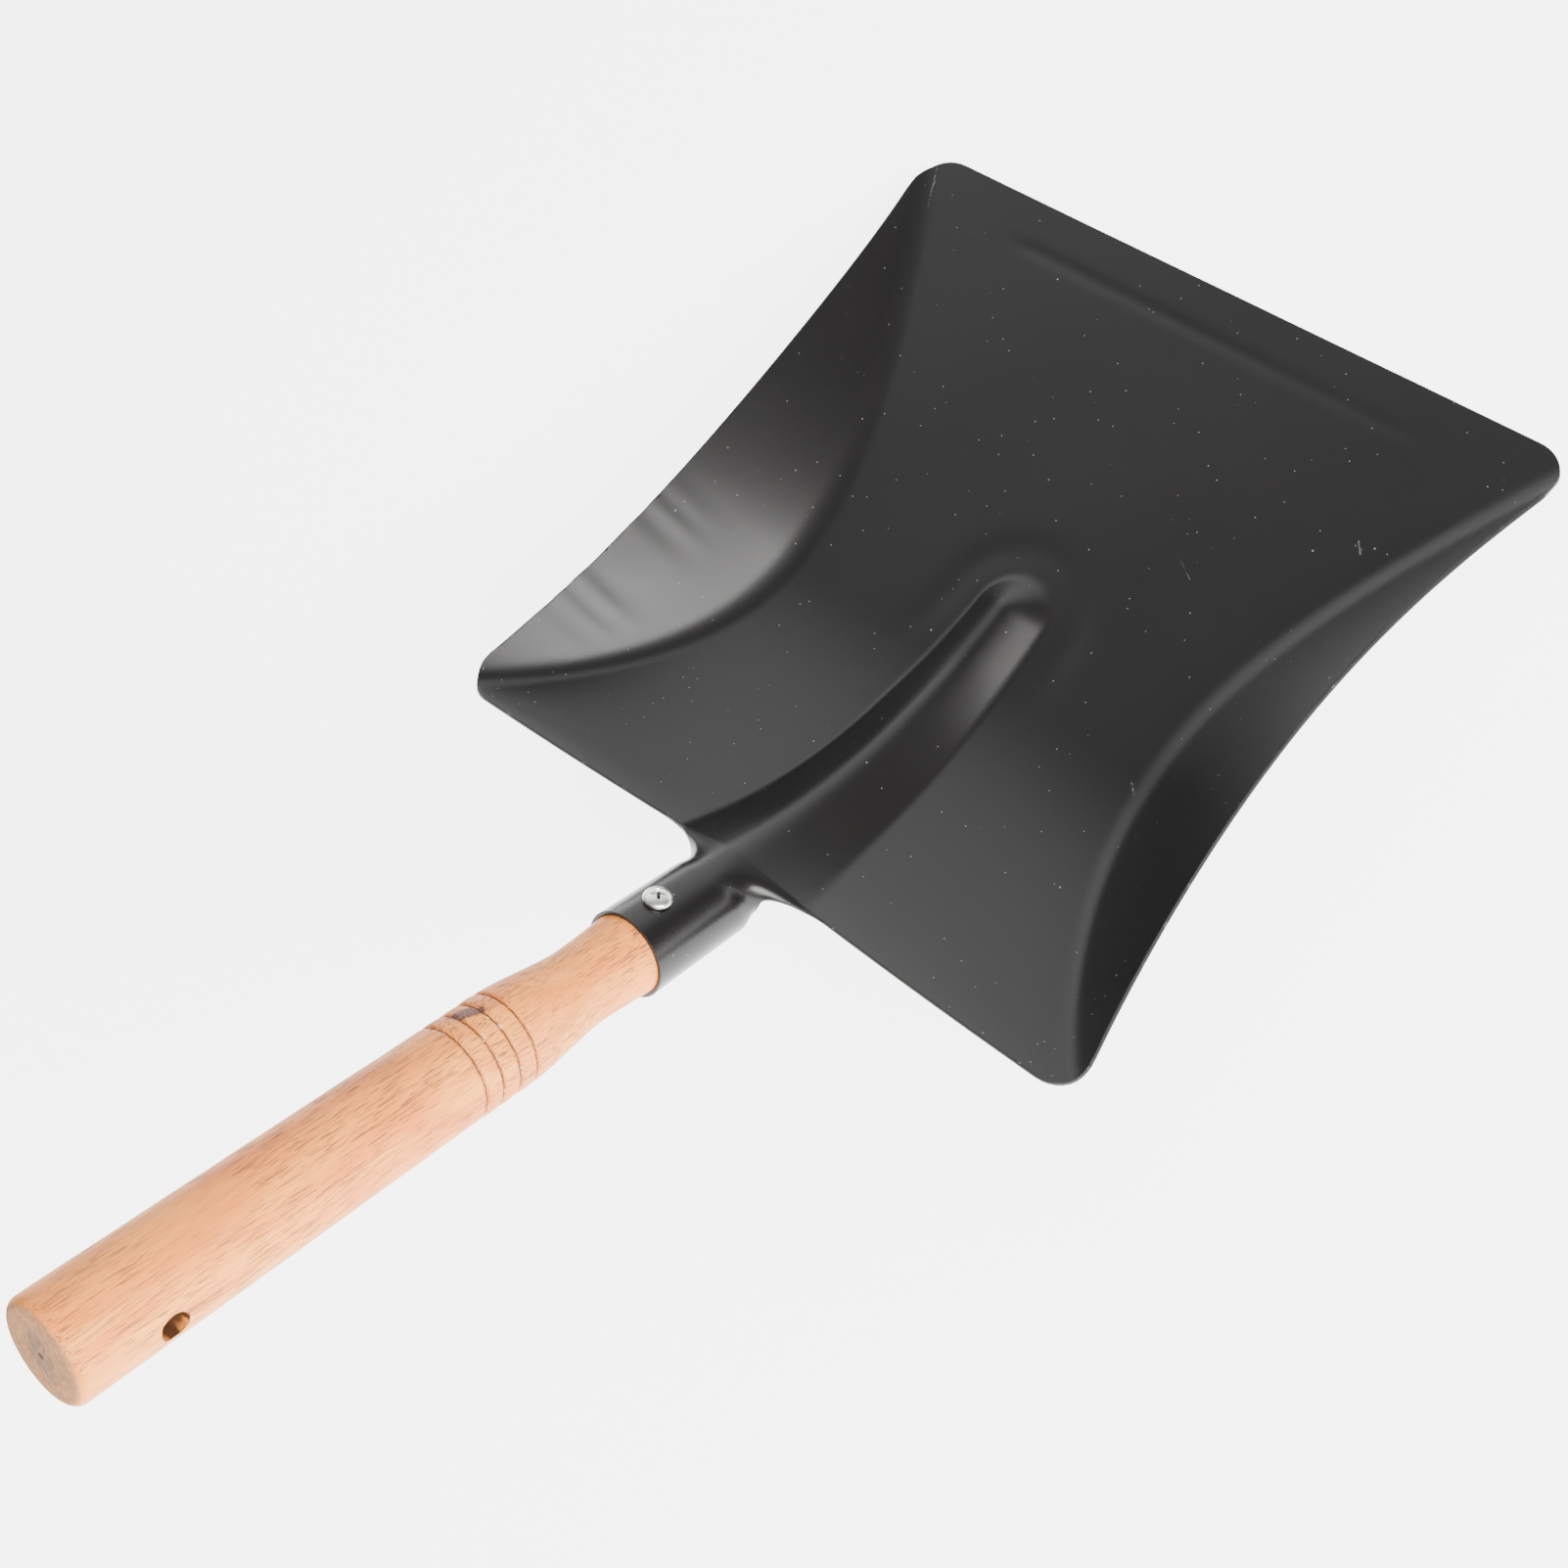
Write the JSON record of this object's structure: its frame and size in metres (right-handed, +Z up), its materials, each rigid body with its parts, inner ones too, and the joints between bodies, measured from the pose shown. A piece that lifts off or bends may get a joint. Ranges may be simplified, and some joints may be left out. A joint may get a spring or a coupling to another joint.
{
  "type": "scoop shovel",
  "caption": "Short scoop shovel: flared pressed-steel pan with a centre rib and rolled socket, and a turned wooden handle held in the socket by one screw.",
  "frame": {"origin": "middle of the underside of the whole shovel's box; the flat underside of the pan lies on Z=0", "axes": "+X across the pan, +Y from the handle towards the pan's front edge, +Z up"},
  "size_m": [0.2242, 0.4121, 0.1836],
  "materials": {
    "black_coat": "satin black powder coat with a fine orange-peel texture",
    "bare_wood": "light tan hardwood, turned and sanded, thin clear coat",
    "zinc": "bright zinc plate"
  },
  "bodies": {
    "root": {"blade": "black_coat", "handle": "bare_wood", "socket_screw": "zinc"}
  },
  "joints": []
}
